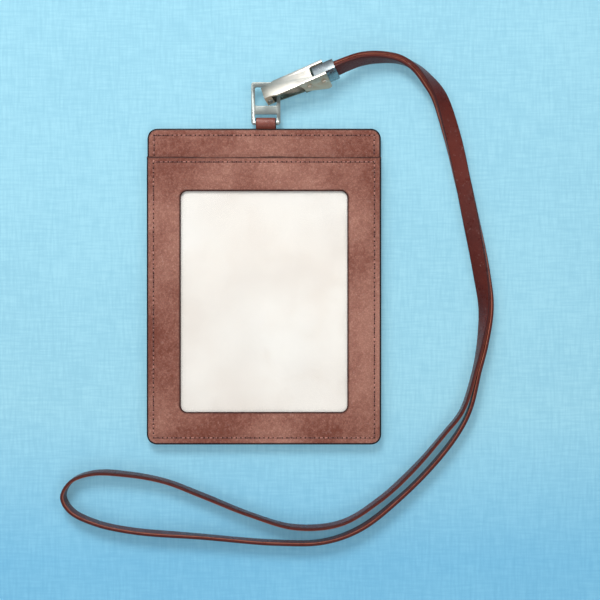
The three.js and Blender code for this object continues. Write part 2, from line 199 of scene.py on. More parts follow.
def leather(name, low, high, rim, pebble=HOLDER_PEBBLE, pebble_depth=0.12, rough=0.42,
            sheen=0.08, specular=0.22, crease_shade=0.30, corner=None, corner_shade_colour=None):
    """Leather from colour low to high in soft clouds, going to rim where the rim attribute says.

    The corner attribute is 1 on corners given a painted highlight in that colour and -1 on corners
    given painted shade.
    """
    look = Look(name, Specular_IOR_Level=specular, Sheen_Weight=sheen, Sheen_Roughness=0.45,
                Sheen_Tint=srgb(255, 225, 215))
    cloud = look.noise(26, 3)
    mottle = look.noise(240, 4, 0.6)
    rounded_place = look.wandering(pebble * 1.3, 0.9 * HOLDER_PEBBLE / pebble)
    grain = look.cells(pebble, "F1", rounded_place, "Color")
    both = look.math("ADD", look.math("MULTIPLY", cloud, 0.8), look.math("MULTIPLY", mottle, 0.2))
    both = look.math("ADD", both, look.spread(grain, 0.2, 0.8, -0.05, 0.05))
    colour = look.mix(look.spread(both, 0.36, 0.64), low, high)
    crease = look.cells(pebble, "DISTANCE_TO_EDGE", rounded_place)
    # Painted shade: the grain's creases are darkened towards the rim colour.
    crease_shade_share = look.spread(crease, 0.0, 0.2, crease_shade, 0.0)
    colour = look.mix(crease_shade_share, colour, rim)
    scuff = look.spread(look.noise(650, 5, 0.7), 0.60, 0.72, 0.0, 0.22)
    colour = look.mix(scuff, colour, look.mix(0.45, high, (1, 0.85, 0.8, 1)))
    edge = look.math("ADD", look.attribute("rim"), look.spread(mottle, 0.3, 0.7, -0.12, 0.12))
    colour = look.mix(look.spread(edge, 0.15, 0.85), colour, rim)
    # Painted light on the strap's corners: a painted highlight where the corner attribute is 1, and
    # painted shade where it is -1.
    if corner is not None:
        where = look.attribute("corner")
        colour = look.mix(look.spread(where, 0.0, -1.0), colour, corner_shade_colour)
        corner_highlight_share = look.math("MULTIPLY", look.spread(where, 0.0, 1.0),
                           look.spread(mottle, 0.35, 0.6, 0.55, 1.0))
        colour = look.mix(corner_highlight_share, colour, corner)
    look.set("Base Color", colour)
    look.set("Roughness", look.spread(mottle, 0.3, 0.7, rough - 0.07, rough + 0.1))
    fine = look.bump(look.noise(2600, 3, 0.6), 0.25, 0.05)
    pebbles = look.bump(look.spread(crease, 0.0, 0.3), 0.7, pebble_depth, fine)
    look.set("Normal", look.bump(cloud, 0.3, 0.8, pebbles))
    return look.material


def painted_edge(name, colour, worn):
    """Burnished or painted leather edge, worn lighter here and there."""
    look = Look(name, Specular_IOR_Level=0.2)
    rub = look.noise(420, 4, 0.65)
    look.set("Base Color", look.mix(look.spread(rub, 0.5, 0.75), colour, worn))
    look.set("Roughness", look.spread(rub, 0.3, 0.7, 0.38, 0.6))
    fibres = look.noise(900, 4, 0.6, look.mapped((1, 1, 4)))
    look.set("Normal", look.bump(fibres, 0.35, 0.12))
    return look.material


def metal(name, colour, dull, rough, along=0.0, nose_shade=None, front_reflection=None):
    """Satin plated metal, brushed along a direction given as a turn about Z in degrees.

    The nose shade colour is painted shade, darker towards the clip's nose, where the plate reflects
    less light. The front reflection colour is a painted reflection: a warm, less metallic colour on
    the sides that face the front.
    """
    look = Look(name, metal=1.0, Anisotropic=0.25)
    stretched = look.mapped((90, 1900, 1900), (0, 0, math.radians(-along)))
    grain = look.noise(1, 4, 0.6, stretched)
    smear = look.noise(330, 3)
    base = look.mix(look.spread(smear, 0.4, 0.7), colour, dull)
    if nose_shade is not None:
        # Painted shade: darker towards the clip's nose.
        base = look.mix(look.spread(look.axis(look.place, "X"), 0.0, 0.014, 1.0, 0.0), base, nose_shade)
        # Painted reflection: sides facing the front take a warm colour and less metallic shine.
        front_facing = look.spread(look.axis(look.facing, "Y"), -0.35, -0.7)
        base = look.mix(front_facing, base, front_reflection)
        look.set("Metallic", look.spread(front_facing, 0.0, 1.0, 1.0, 0.25))
    look.set("Base Color", base)
    both = look.math("ADD", look.math("MULTIPLY", grain, 0.5), look.math("MULTIPLY", smear, 0.5))
    look.set("Roughness", look.spread(both, 0.35, 0.65, rough - 0.06, rough + 0.08))
    look.set("Normal", look.bump(grain, 0.2, 0.02))
    return look.material


def thread():
    look = Look("stitching_thread", Sheen_Weight=0.3, Sheen_Roughness=0.5)
    shade = look.noise(350, 3, 0.6)
    look.set("Base Color", look.mix(look.spread(shade, 0.42, 0.62), srgb(98, 46, 42),
                                    srgb(184, 126, 112)))
    look.set("Roughness", look.spread(shade, 0.3, 0.7, 0.5, 0.7))
    look.set("Normal", look.bump(look.noise(3200, 3, 0.6), 0.6, 0.06))
    return look.material


def paper():
    look = Look("insert_paper", Sheen_Weight=0.05)
    cloud = look.noise(22, 3, 0.5)
    smudge = look.noise(60, 4, 0.55, distortion=0.6)
    colour = look.mix(look.spread(cloud, 0.35, 0.65), srgb(243, 233, 222), srgb(252, 248, 241))
    colour = look.mix(look.spread(smudge, 0.5, 0.75, 0.0, 0.30), colour, srgb(228, 214, 200))
    look.set("Base Color", colour)
    look.set("Roughness", look.spread(smudge, 0.3, 0.7, 0.55, 0.7))
    look.set("Normal", look.bump(look.noise(1800, 4, 0.6), 0.15, 0.03))
    return look.material


def film():
    look = Look("clear_film", Specular_IOR_Level=0.8, Coat_Weight=0.6, Coat_Roughness=0.08,
                IOR=1.49, Alpha=0.16)
    haze = look.noise(45, 4, 0.6)
    look.set("Base Color", look.mix(look.spread(haze, 0.3, 0.7), srgb(236, 240, 242),
                                    srgb(252, 252, 250)))
    look.set("Roughness", look.spread(haze, 0.3, 0.7, 0.10, 0.24))
    look.set("Normal", look.bump(look.noise(35, 2), 0.25, 0.4))
    return look.material


def fibre_board():
    look = Look("fibre_board")
    fleck = look.noise(900, 5, 0.7)
    look.set("Base Color", look.mix(look.spread(fleck, 0.35, 0.7), srgb(120, 104, 84),
                                    srgb(160, 142, 118)))
    look.set("Roughness", look.spread(fleck, 0.3, 0.7, 0.8, 0.95))
    look.set("Normal", look.bump(fleck, 0.4, 0.1))
    return look.material


# Painted shade: dark discs that stand in for the shade inside the needle holes.
def needle_hole_shade():
    look = Look("needle_hole_shade")
    shade = look.noise(900, 3)
    look.set("Base Color", look.mix(shade, srgb(30, 12, 10), srgb(52, 24, 20)))
    look.set("Roughness", look.spread(shade, 0.3, 0.7, 0.8, 0.95))
    return look.material


# Painted shade on the floor: it darkens towards the front between these two places along Y.
FLOOR_DIMS = (-0.125, -0.055)  # from where to where along Y the floor brightens, in metres


def floor_look():
    """Pale blue cloth with painted light: it glows a little, more at the back, to soften the
    shadows on it, and is painted darker towards the front.
    """
    look = Look("floor", rough=0.85)
    cloud = look.noise(14, 3)
    threads = [look.noise(1, 2, 0.6, look.mapped(scale)) for scale in ((90, 900, 1), (900, 90, 1))]
    weave = look.math("MULTIPLY", threads[0], threads[1])
    shade = look.math("ADD", look.math("MULTIPLY", cloud, 0.4), look.math("MULTIPLY", weave, 1.2))
    share = look.spread(shade, 0.35, 0.65)
    back = look.mix(share, srgb(123, 171, 188), srgb(135, 182, 198))
    front = look.mix(share, srgb(100, 169, 206), srgb(112, 180, 214))
    along = look.axis(look.place, "Y")
    # Painted shade: the base colour goes darker towards the front.
    look.set("Base Color", look.mix(look.spread(along, *FLOOR_DIMS), front, back))
    look.set("Roughness", look.spread(cloud, 0.3, 0.7, 0.82, 0.92))
    # Painted light: the floor glows, more towards the back.
    look.set("Emission Color", look.mix(share, srgb(150, 214, 240), srgb(164, 224, 244)))
    look.set("Emission Strength", look.spread(along, *FLOOR_DIMS, 0.15, 0.31))
    return look.material


HOLDER_LEATHER = leather("holder_leather", srgb(124, 68, 54), srgb(176, 124, 108),
                         srgb(60, 28, 24))
HOLDER_EDGE = painted_edge("holder_edge_paint", srgb(12, 11, 22), srgb(44, 32, 38))
CUT_EDGE = painted_edge("cut_leather_edge", srgb(56, 28, 24), srgb(98, 60, 50))
TAB_LEATHER = leather("tab_leather", srgb(124, 58, 46), srgb(152, 84, 68), srgb(60, 26, 24),
                      pebble=1900, pebble_depth=0.06, rough=0.30, sheen=0.05, crease_shade=0.2,
                      specular=0.6)
# The strap's corner colours are painted light: a tan painted highlight and a dark painted shade.
STRAP_LEATHER = leather("strap_leather", srgb(72, 20, 14), srgb(98, 36, 26), srgb(84, 32, 27),
                        pebble=2100, pebble_depth=0.05, rough=0.30, sheen=0.0,
                        crease_shade=0.2, corner=srgb(186, 112, 88), corner_shade_colour=srgb(26, 20, 26))
# The nickel's nose shade and front reflection colours are painted light.
NICKEL = metal("satin_nickel", (0.94, 0.90, 0.82, 1), (0.84, 0.79, 0.70, 1), 0.36, along=22,
               nose_shade=(0.31, 0.31, 0.27, 1), front_reflection=(0.60, 0.52, 0.38, 1))
# Painted shade: the lever is a darker copy of the nickel, for the shade inside the clip's jaw.
SHADED_LEVER_METAL = metal("shaded_lever_nickel", (0.34, 0.30, 0.24, 1), (0.20, 0.17, 0.13, 1), 0.30, along=22)
GREY_METAL = metal("grey_plated_metal", (0.38, 0.42, 0.40, 1), (0.30, 0.34, 0.33, 1), 0.33,
                   along=90)
CRIMP_METAL = metal("slate_plated_metal", (0.32, 0.37, 0.39, 1), (0.22, 0.26, 0.28, 1), 0.27,
                    along=22)
SPRING_STEEL = metal("spring_steel", (0.62, 0.63, 0.64, 1), (0.45, 0.46, 0.48, 1), 0.22)
THREAD = thread()
HOLE_SHADE = needle_hole_shade()
PAPER = paper()
FILM = film()
BOARD = fibre_board()

# ---- Mesh helpers ---------------------------------------------------------------------------


def add_mesh(name, points, faces, materials, slots=None, rim=None, corner=None):
    """A piece from points in millimetres, with its normals turned outwards."""
    mesh = bpy.data.meshes.new(name)
    mesh.from_pydata((np.asarray(points, float) * MM).tolist(), [], faces)
    for material in materials:
        mesh.materials.append(material)
    if slots is not None:
        mesh.polygons.foreach_set("material_index", slots)
    for label, values in (("rim", rim), ("corner", corner)):
        if values is not None:
            mesh.attributes.new(label, "FLOAT", "POINT").data.foreach_set("value", values)
    turned = bmesh.new()
    turned.from_mesh(mesh)
    bmesh.ops.recalc_face_normals(turned, faces=turned.faces)
    turned.to_mesh(mesh)
    turned.free()
    mesh.polygons.foreach_set("use_smooth", [True] * len(mesh.polygons))
    mesh.update()
    piece = bpy.data.objects.new(name, mesh)
    bpy.context.scene.collection.objects.link(piece)
    return piece


def settle(piece, body, slot, *nodes):
    """The piece rides on its body and stands for the CAD nodes. Its slot is not used."""
    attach(piece, body)
    if nodes:
        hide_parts(*nodes)
    return piece


def quads(rows, columns, wrap_rows=False, wrap_columns=False, start=0):
    """Faces of a grid of points laid out row by row."""
    faces = []
    for i in range(rows if wrap_rows else rows - 1):
        for j in range(columns if wrap_columns else columns - 1):
            a = start + i * columns + j
            b = start + i * columns + (j + 1) % columns
            c = start + (i + 1) % rows * columns + (j + 1) % columns
            d = start + (i + 1) % rows * columns + j
            faces.append((a, b, c, d))
    return faces


def tube(rows, columns, start=0):
    """Faces of a closed tube of rings, with a cap at each end."""
    last = start + (rows - 1) * columns
    return quads(rows, columns, wrap_columns=True, start=start) + [
        tuple(range(start, start + columns)), tuple(range(last, last + columns))]


def headings(line):
    """Unit directions along a line of points."""
    ahead = np.gradient(line, axis=0)
    return ahead / np.linalg.norm(ahead, axis=1)[:, None]


def wave(x, y, seed=0.0):
    """Soft undulation from about -1 to 1, with swells 25 to 60 mm long."""
    return (np.sin(x / 9.1 + 0.6 * np.sin(y / 17 + seed) + seed)
            + np.sin(y / 12.7 + 0.8 * np.sin(x / 21 - seed) + 2.1 * seed)
            + np.sin((x + y) / 6.3 + 1.7 * seed) * 0.5) / 2.5


def ease(value, low, high):
    """0 below low and 1 above high, with a smooth step between."""
    t = np.clip((value - low) / (high - low), 0, 1)
    return t * t * (3 - 2 * t)


def shoulder(depth, radius):
    """How far a rounded edge has dropped at this depth in from the outline."""
    t = 1 - np.clip(depth / radius, 0, 1)
    return radius * (1 - np.sqrt(1 - t * t))


# ---- Holder panels --------------------------------------------------------------------------

# Outlines, in millimetres.
HALF_W = 52.75
HALF_H = 71.25
CORNER_R = 4.5
FRAME_TOP = 58.2
WINDOW_HALF = (37.5, 49.7)
WINDOW_MID_Y = -6.9
WINDOW_R = 3.0
STITCH_INSET = 3.05
SLOT_STITCH_Y = 55.9
TAB_X = 0.8
TAB_HALF_W = 4.55
TAIL_END = 57.0  # how far down the tab's tails reach
BOARD_INSET = 0.6
MOUTH_INSET = 3.2  # in from each side, where the pocket's mouth is open under the frame
EDGE_STEPS = [0, 0.05, 0.16, 0.34, 0.7, 1.1, 1.7, 2.4, 3.05, 3.7, CORNER_R]
PAINT_W = 0.75  # how far the edge paint comes in over the face
CUT_W = 0.35  # how far the dark of an unpainted cut edge shows

# Heights above the table.
BOARD_UNDER = 1.08
BACK_RIM = 1.66
BAND_RIM = 1.74
BOARD_TOP = 2.32
CARD_UNDER = 3.56
CARD_FACE = 3.93
FILM_UNDER = 4.13
FILM_FACE = 4.33
BAND_FACE = 3.4
FRAME_FACE = 5.5
FRAME_UNDER = 3.44
FRAME_FOOT = 3.7  # the frame's outline on its underside
WINDOW_UNDER = 4.46

# Depths and swells.
EDGE_R = 0.5  # how rounded the panels' outer edges are
WINDOW_EDGE_R = 0.4
GROOVE_W = 0.75
FRAME_GROOVE = 0.30
BAND_GROOVE = 0.22
BACK_GROOVE = 0.42  # deep enough for the back stitches to lie below the panel's face
FRAME_PUFF = 0.22
TAB_BULGE = 0.14


def lines(half, extra=(), step=2.6):
    """Grid lines across a panel, close together at its edges."""
    inner = half - EDGE_STEPS[-1]
    count = max(2, round(2 * inner / step))
    middle = np.linspace(-inner, inner, count + 1)
    edge = [half - s for s in EDGE_STEPS[:-1]]
    return np.array(sorted([-e for e in edge] + list(middle) + edge + list(extra)))


def rounded(x, y, half_w, half_h, r):
    """Pulls a grid's square corners in to radius r."""
    a = np.abs(x) - (half_w - r)
    b = np.abs(y) - (half_h - r)
    far = np.maximum(np.maximum(a, b), 1e-9)
    turn = np.pi / 4 * np.minimum(a, b) / far
    turn = np.where(a >= b, turn, np.pi / 2 - turn)
    corner = (a > 0) & (b > 0)
    new_x = np.sign(x) * (half_w - r + far * np.cos(turn))
    new_y = np.sign(y) * (half_h - r + far * np.sin(turn))
    return np.where(corner, new_x, x), np.where(corner, new_y, y)


def inset_of(x, y, half_w, half_h, r):
    """How far in from a rounded rectangle's outline a point is."""
    a = np.abs(x) - (half_w - r)
    b = np.abs(y) - (half_h - r)
    outside = np.hypot(np.maximum(a, 0), np.maximum(b, 0))
    return r - outside - np.minimum(np.maximum(a, b), 0)


def groove(x, y):
    """Depth, 0 to 1, of the seam pressed along the stitches round the outline."""
    off = np.minimum(np.abs(np.abs(x) - (HALF_W - STITCH_INSET)),
                     np.abs(np.abs(y) - (HALF_H - STITCH_INSET)))
    return np.exp(-(off / GROOVE_W) ** 2)


def slab(name, xs, ys, half, r, top, bottom, materials):
    """A closed panel between two height functions, with its rim in the second material."""
    x, y = np.meshgrid(xs, ys, indexing="ij")
    x, y = rounded(x, y, half[0], half[1], r)
    inset = inset_of(x, y, half[0], half[1], r)
    nx, ny = x.shape
    upper = np.stack([x, y, top(x, y, inset)], -1).reshape(-1, 3)
    lower = np.stack([x, y, bottom(x, y, inset)], -1).reshape(-1, 3)
    faces = quads(nx, ny) + [f[::-1] for f in quads(nx, ny, start=nx * ny)]
    border = ([(i, 0) for i in range(nx)] + [(nx - 1, j) for j in range(1, ny)]
              + [(i, ny - 1) for i in range(nx - 2, -1, -1)]
              + [(0, j) for j in range(ny - 2, 0, -1)])
    ids = [i * ny + j for i, j in border]
    for a, b in zip(ids, ids[1:] + ids[:1]):
        faces.append((a, b, b + nx * ny, a + nx * ny))
    depth = np.concatenate([inset.ravel()] * 2)
    slots = [int(len(materials) > 1 and depth[list(f)].max() < PAINT_W) for f in faces]
    rim = 1 - ease(depth, 0.1, 1.3)
    return add_mesh(name, np.concatenate([upper, lower]), faces, materials, slots, rim)


def back_panel():
    def bottom(x, y, inset):
        return (shoulder(inset, EDGE_R) + BACK_GROOVE * groove(x, y)
                + 0.03 * (1 + wave(x, y, 0.4)))

    def top(x, y, inset):
        return np.where(inset < BOARD_INSET - 0.1, BACK_RIM, BOARD_UNDER) + 0 * x

    xs = lines(HALF_W)
    ys = lines(HALF_H)
    piece = slab("back_panel_leather", xs, ys, (HALF_W, HALF_H), CORNER_R, top, bottom,
                 [HOLDER_LEATHER, HOLDER_EDGE])
    return settle(piece, "holder", "holder_leather", "back_panel")


def tab_bulge(x, y):
    """The tab's tails lift the leather above them, in a shape that widens upwards."""
    half = TAB_HALF_W + 0.4 + 0.06 * (y - TAIL_END)
    across = 1 - ease(np.abs(x - TAB_X), half - 0.6, half + 1.1)
    return across * ease(y, TAIL_END, TAIL_END + 3)


def pocket_panel():
    def top(x, y, inset):
        swell = 0.05 * wave(x, y, 1.3)
        return (BAND_FACE - shoulder(inset, EDGE_R) - BAND_GROOVE * groove(x, y) * (y > FRAME_TOP)
                + TAB_BULGE * tab_bulge(x, y) * ease(inset, 0, 1.0)
                - (0.05 + swell) * (y < FRAME_TOP - 2)
                - (0.05 - swell) * (y > FRAME_TOP) * ease(inset, 1, 4))

    def bottom(x, y, inset):
        return np.where(inset < BOARD_INSET - 0.1, BAND_RIM, BOARD_TOP) + 0 * x

    xs = lines(HALF_W, [TAB_X + side for side in (-5.6, -5.0, -4.4, 4.4, 5.0, 5.6)])
    ys = lines(HALF_H, [57.0, 57.8, 58.5, 59.2, 60.0, 61.5, 63.0])
    piece = slab("pocket_panel_leather", xs, ys, (HALF_W, HALF_H), CORNER_R, top, bottom,
                 [HOLDER_LEATHER, HOLDER_EDGE])
    return settle(piece, "holder", "holder_leather", "pocket_panel")


SIDE_STEPS = (54, 40)  # up each side, and along the top and bottom
ARC_STEPS = 8


def outline(x0, x1, y0, y1, low_r, high_r):
    """Points round a rectangle whose lower and upper corners have these radii."""

    def arc(x, y, r, begin):
        centre = np.array([x - r if x == x1 else x + r, y + r if y == y0 else y - r])
        turns = np.radians(begin + np.linspace(0, 90, ARC_STEPS + 1))
        return centre + r * np.stack([np.cos(turns), np.sin(turns)], -1)

    arcs = [arc(x1, y0, low_r, -90), arc(x1, y1, high_r, 0), arc(x0, y1, high_r, 90),
            arc(x0, y0, low_r, 180)]
    points = []
    for k, corner in enumerate(arcs):
        share = np.linspace(0, 1, SIDE_STEPS[k % 2] + 1)[1:-1, None]
        points += [corner, corner[-1] * (1 - share) + arcs[(k + 1) % 4][0] * share]
    return np.concatenate(points)


def outer_ring(inset):
    """The frame's outline moved inwards, with a slight waver along its cut top edge."""
    low = max(CORNER_R - inset, 0.3)
    ring = outline(-HALF_W + inset, HALF_W - inset, -HALF_H + inset, FRAME_TOP - inset, low, 0.3)
    ripple = 0.16 * np.sin(ring[:, 0] / 8.3 + 0.7) + 0.07 * np.sin(ring[:, 0] / 3.1)
    ring[:, 1] += ripple * ease(ring[:, 1], FRAME_TOP - 6, FRAME_TOP)
    return ring


def window_ring(outset):
    """The window's outline moved outwards."""
    w, h = WINDOW_HALF
    return outline(-w - outset, w + outset, WINDOW_MID_Y - h - outset, WINDOW_MID_Y + h + outset,
                   WINDOW_R + outset * 0.7, WINDOW_R + outset * 0.7)


def frame_top(ring, from_edge, from_window):
    """The frame's height, with rounded edges, pressed seams and a soft swell between them."""
    x, y = ring[:, 0], ring[:, 1]
    off = np.minimum(np.abs(np.abs(x) - (HALF_W - STITCH_INSET)),
                     np.minimum(np.abs(y + HALF_H - STITCH_INSET), np.abs(y - SLOT_STITCH_Y)))
    puff = ease(from_edge, STITCH_INSET + 0.3, STITCH_INSET + 4) * ease(from_window, 0.5, 5)
    z = FRAME_FACE - shoulder(from_edge, EDGE_R) - shoulder(from_window, WINDOW_EDGE_R)
    z = z - FRAME_GROOVE * np.exp(-(off / GROOVE_W) ** 2) + FRAME_PUFF * puff
    z = z - 0.10 * (1 - ease(from_window, 0, 3))
    return z + 0.07 * wave(x, y, 2.2) * ease(from_edge, 1, 5)


def frame_rings():
    """Rings of points from the frame's outline in to its window."""
    outer = [outer_ring(s) for s in EDGE_STEPS + [5.4, 6.8]]
    inner = [window_ring(s) for s in [5.4, 4.2, 3.0, 2.0, 1.2, 0.7, 0.4, 0.2, 0.08, 0.0]]
    return outer + [outer[-1] * (1 - t) + inner[0] * t for t in (0.25, 0.5, 0.75)] + inner


def frame_insets(ring):
    """How far in from the frame's outline, and how far out from its window, each point is."""
    x, y = ring[:, 0], ring[:, 1]
    half_h = (HALF_H + FRAME_TOP) / 2
    mid = (FRAME_TOP - HALF_H) / 2
    from_edge = np.where(y < mid, inset_of(x, y - mid, HALF_W, half_h, CORNER_R),
                         np.minimum(HALF_W - np.abs(x), FRAME_TOP - y))
    from_window = -inset_of(x, y - WINDOW_MID_Y, *WINDOW_HALF, WINDOW_R)
    return np.maximum(from_edge, 0), np.maximum(from_window, 0)


def window_panel():
    """The front frame with its window, hollow underneath for the card and the film."""
    rings = frame_rings()
    points, rim, depth, cut = [], [], [], []
    for ring in rings:
        from_edge, from_window = frame_insets(ring)
        if ring is rings[0]:
            from_edge = from_edge * 0
        points.append(np.column_stack([ring, frame_top(ring, from_edge, from_window)]))
        near = np.minimum(from_edge, from_window)
        rim.append(1 - ease(near, 0.1, 1.2))
        depth.append(near)
        cut.append((from_window < from_edge) | (ring[:, 1] > FRAME_TOP - 1.2))
    under = [(window_ring(0.0), WINDOW_UNDER), (window_ring(2.0), WINDOW_UNDER),
             (outer_ring(5.0), WINDOW_UNDER), (outer_ring(4.9), FRAME_UNDER),
             (outer_ring(0.5), FRAME_UNDER), (outer_ring(0.0), FRAME_FOOT)]
    for k, (ring, z) in enumerate(under):
        mouth = (ring[:, 1] > FRAME_TOP - 6) & (np.abs(ring[:, 0]) < HALF_W - MOUTH_INSET)
        points.append(np.column_stack([ring, np.where(mouth, WINDOW_UNDER, z)]))
        rim.append(np.ones(len(ring)))
        depth.append(np.zeros(len(ring)))
        cut.append((ring[:, 1] > FRAME_TOP - 1.2) | (k < 2))
    count = len(rings[0])
    faces = quads(len(points), count, wrap_rows=True, wrap_columns=True)
    depth = np.concatenate(depth)
    cut = np.concatenate(cut)
    slots = []
    for face in faces:
        deepest, is_cut = depth[list(face)].max(), cut[list(face)].all()
        slots.append(0 if deepest > (CUT_W if is_cut else PAINT_W) else 1 + int(is_cut))
    piece = add_mesh("window_panel_leather", np.concatenate(points), faces,
                     [HOLDER_LEATHER, HOLDER_EDGE, CUT_EDGE], slots, np.concatenate(rim))
    return settle(piece, "holder", "holder_leather", "window_panel")


CARD_HALF_W = 47.0


def insert_card():
    def top(x, y, inset):
        return CARD_FACE + 0.03 * wave(x, y, 3.1) - shoulder(inset, 0.08)

    def bottom(x, y, inset):
        return CARD_UNDER + 0 * x

    low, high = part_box("insert_card")
    half_h = (high.y - low.y) / MM / 2
    mid = (high.y + low.y) / MM / 2
    piece = slab("insert_card_paper", lines(CARD_HALF_W, step=4), lines(half_h, step=4),
                 (CARD_HALF_W, half_h), CORNER_R, top, bottom, [PAPER])
    piece.data.transform(Matrix.Translation((0, mid * MM, 0)))
    return settle(piece, "card", "card", "insert_card")


def window_film():
    def top(x, y, inset):
        return FILM_FACE + 0.05 * wave(x * 1.3, y, 4.4)

    def bottom(x, y, inset):
        return FILM_UNDER + 0.05 * wave(x * 1.3, y, 4.4)

    low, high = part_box("window_film")
    half_w = (high.x - low.x) / MM / 2
    half_h = (high.y - low.y) / MM / 2
    mid = (high.y + low.y) / MM / 2
    piece = slab("window_film_sheet", lines(half_w, step=3), lines(half_h, step=3),
                 (half_w, half_h), CORNER_R, top, bottom, [FILM])
    piece.data.transform(Matrix.Translation((0, mid * MM, 0)))
    return settle(piece, "holder", "clear_film", "window_film")


# ---- Stitching ------------------------------------------------------------------------------

STITCH_PITCH = 2.05
STITCH_L = 1.55
STITCH_R = 0.31
STITCH_SIDES = 8
STITCH_RINGS = (-1, -0.93, -0.75, -0.4, 0, 0.4, 0.75, 0.93, 1)  # shares of half its length
STITCH_RISE = 0.26
STITCH_LIFT = 0.05
STITCH_END = 0.5  # how far the slot's stitches stop short of the side seams
HOLE_R = 0.34


def stitch_line(a, b):
    """Middles and headings of the stitches along one straight run."""
    a, b = np.array(a, float), np.array(b, float)
    run = np.linalg.norm(b - a)
    count = max(1, round(run / STITCH_PITCH))
    heading = (b - a) / run
    return [(a + (b - a) * (i + 0.5) / count, heading, run / count) for i in range(count)]


def add_stitches(name, marks, out):
    """Arched stitches as one piece, and dark discs of painted shade at their needle holes as
    another.

    A mark is a place, a height, a heading and a pitch. Out is 1 on the front and -1 on the back.
    """
    points, faces, holes, hole_faces = [], [], [], []
    turns = [2 * math.pi * k / STITCH_SIDES for k in range(STITCH_SIDES)]
    for (x, y), height, heading, pitch in marks:
        swing = math.radians(RNG.uniform(3, 9))
        fx = heading[0] * math.cos(swing) - heading[1] * math.sin(swing)
        fy = heading[0] * math.sin(swing) + heading[1] * math.cos(swing)
        long = STITCH_L * pitch / STITCH_PITCH * RNG.uniform(0.95, 1.04)
        thick = STITCH_R * RNG.uniform(0.92, 1.08)
        start = len(points)
        for u in STITCH_RINGS:
            r = thick * math.sqrt(max(1 - abs(u) ** 3.2, 0.02))
            rise = STITCH_RISE * (1 - u * u) - 0.10
            for turn in turns:
                side = r * math.cos(turn)
                points.append((x + fx * u * long / 2 - fy * side, y + fy * u * long / 2 + fx * side,
                               height + out * (rise + 0.8 * r * math.sin(turn))))
        faces += tube(len(STITCH_RINGS), STITCH_SIDES, start)
        # A dark disc of painted shade at the needle hole.
        first = len(holes)
        hx, hy = x + heading[0] * pitch / 2, y + heading[1] * pitch / 2
        holes.append((hx, hy, height + out * 0.05))
        for k, turn in enumerate(turns):
            holes.append((hx + HOLE_R * math.cos(turn), hy + HOLE_R * math.sin(turn),
                          height + out * 0.07))
            hole_faces.append((first, first + 1 + k, first + 1 + (k + 1) % STITCH_SIDES))
    settle(add_mesh(name, points, faces, [THREAD]), "holder", "holder_leather")
    settle(add_mesh(name + "_holes", holes, hole_faces, [HOLE_SHADE]), "holder", "holder_leather")


def stitching():
    """Stitches round the frame, the band and the back, and along the slot."""
    x = HALF_W - STITCH_INSET
    y = HALF_H - STITCH_INSET
    front_z = FRAME_FACE - FRAME_GROOVE
    band_z = BAND_FACE - BAND_GROOVE
    slot = ((-x + STITCH_END, SLOT_STITCH_Y), (x - STITCH_END, SLOT_STITCH_Y))
    runs = [((-x, FRAME_TOP - 1), (-x, -y), front_z), ((-x, -y), (x, -y), front_z),
            ((x, -y), (x, FRAME_TOP - 1), front_z), (*slot, front_z),
            ((x, FRAME_TOP + 1), (x, y), band_z), ((x, y), (-x, y), band_z),
            ((-x, y), (-x, FRAME_TOP + 1), band_z)]
    marks = []
    for a, b, z in runs:
        for place, heading, pitch in stitch_line(a, b):
            lift = TAB_BULGE * float(tab_bulge(place[0], place[1])) if z == band_z else 0.0
            marks.append((place, z + STITCH_LIFT + lift, heading, pitch))
    add_stitches("front_stitching", marks, 1)
    corners = [(-x, -y), (x, -y), (x, y), (-x, y)]
    back = []
    for a, b in [*zip(corners, corners[1:] + corners[:1]), slot]:
        for place, heading, pitch in stitch_line(a, b):
            back.append((place, BACK_GROOVE, heading, pitch))
    add_stitches("back_stitching", back, -1)


# ---- Tab ------------------------------------------------------------------------------------

BAR_AT = (73.7, 3.7)
WRAP_R = 1.75


def tab_line():
    """The tab's middle line seen from the side, as y, z and thickness."""
    line = [(57.2, 1.42, 0.5), (60, 1.42, 0.52), (64, 1.44, 0.54), (68, 1.44, 0.56),
            (70.4, 1.42, 0.62), (71.6, 1.42, 0.8), (72.6, 1.60, 1.0)]
    for turn in range(-90, 121, 12):
        line.append((BAR_AT[0] + WRAP_R * math.cos(math.radians(turn)),
                     BAR_AT[1] + WRAP_R * math.sin(math.radians(turn)), 1.18))
    return line + [(72.2, 4.72, 1.15), (71.75, 4.05, 1.1), (71.42, 3.3, 0.95), (71.2, 2.65, 0.75),
                   (70.6, 2.1, 0.55), (68, 2.0, 0.54), (64, 2.0, 0.54), (60, 2.0, 0.52),
                   (57.2, 2.0, 0.5)]


def strap_tab():
    """The folded leather tab, as a strip that wraps the loop's bar, with its edges darker."""
    line = np.array(tab_line())
    fine = []
    for i in range(len(line) - 1):
        for t in (0, 0.5):
            fine.append(line[i] * (1 - t) + line[i + 1] * t)
    line = np.array(fine + [line[-1]])
    ahead = headings(line[:, :2])
    normal = np.stack([ahead[:, 1], -ahead[:, 0]], -1)
    section = []
    for sign_x, begin in ((1, -90), (1, 0), (-1, 90), (-1, 180)):
        for turn in np.radians(begin + np.array([0, 30, 60, 90])):
            section.append((sign_x, math.cos(turn), math.sin(turn)))
    points, rim = [], []
    for k, (y, z, thick) in enumerate(line):
        r = min(0.42, thick / 2)
        half = TAB_HALF_W + 0.06 * math.sin(k * 0.7)
        for sign_x, c, s in section:
            across = sign_x * (half - r) + r * c
            out = math.copysign(thick / 2 - r, s) + r * s if abs(s) > 1e-6 else 0.0
            points.append((TAB_X + across, y + normal[k, 0] * out, z + normal[k, 1] * out))
            rim.append(1.0 if abs(c) > 0.4 else 0.0)
    faces = tube(len(line), len(section))
    piece = add_mesh("strap_tab_leather", points, faces, [TAB_LEATHER], rim=rim)
    return settle(piece, "holder", "tab_leather", "strap_tab")


